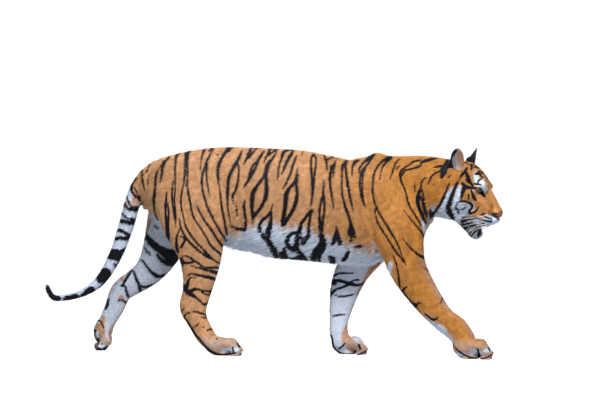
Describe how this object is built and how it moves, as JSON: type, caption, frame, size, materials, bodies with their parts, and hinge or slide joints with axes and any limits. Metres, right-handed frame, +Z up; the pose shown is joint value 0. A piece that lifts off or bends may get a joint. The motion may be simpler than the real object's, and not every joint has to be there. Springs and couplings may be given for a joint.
{
  "type": "tiger",
  "caption": "Life-size standing model of a walking adult male tiger, head forward and low, long tail curling up at its tip; stands on its own four paws.",
  "frame": {"origin": "on the floor, under the centre of the animal's bounding box", "axes": "+X is forward, towards the nose; +Y is the animal's left; +Z is up"},
  "size_m": [2.1412, 0.3764, 0.9808],
  "materials": {
    "striped_fur": "short dense fur, orange with black stripes, white below",
    "eye": "wet, amber with a round black pupil",
    "nose_skin": "bare moist skin",
    "paw_pad": "bare rough skin",
    "claw": "smooth horn",
    "whisker": "stiff white hair"
  },
  "bodies": {
    "root": {"chest": "striped_fur", "abdomen": "striped_fur", "pelvis": "striped_fur", "neck": "striped_fur", "head": "striped_fur", "jaw": "striped_fur", "nose": "nose_skin", "ear_right": "striped_fur", "ear_left": "striped_fur", "eye_right": "eye", "eye_left": "eye", "fore_right_upper_arm": "striped_fur", "fore_right_forearm": "striped_fur", "fore_right_paw": "striped_fur", "fore_left_upper_arm": "striped_fur", "fore_left_forearm": "striped_fur", "fore_left_paw": "striped_fur", "hind_right_thigh": "striped_fur", "hind_right_shank": "striped_fur", "hind_right_paw": "striped_fur", "hind_left_thigh": "striped_fur", "hind_left_shank": "striped_fur", "hind_left_paw": "striped_fur", "tail_root": "striped_fur", "tail_middle": "striped_fur", "tail_tip": "striped_fur", "scrotum": "striped_fur"}
  },
  "joints": []
}
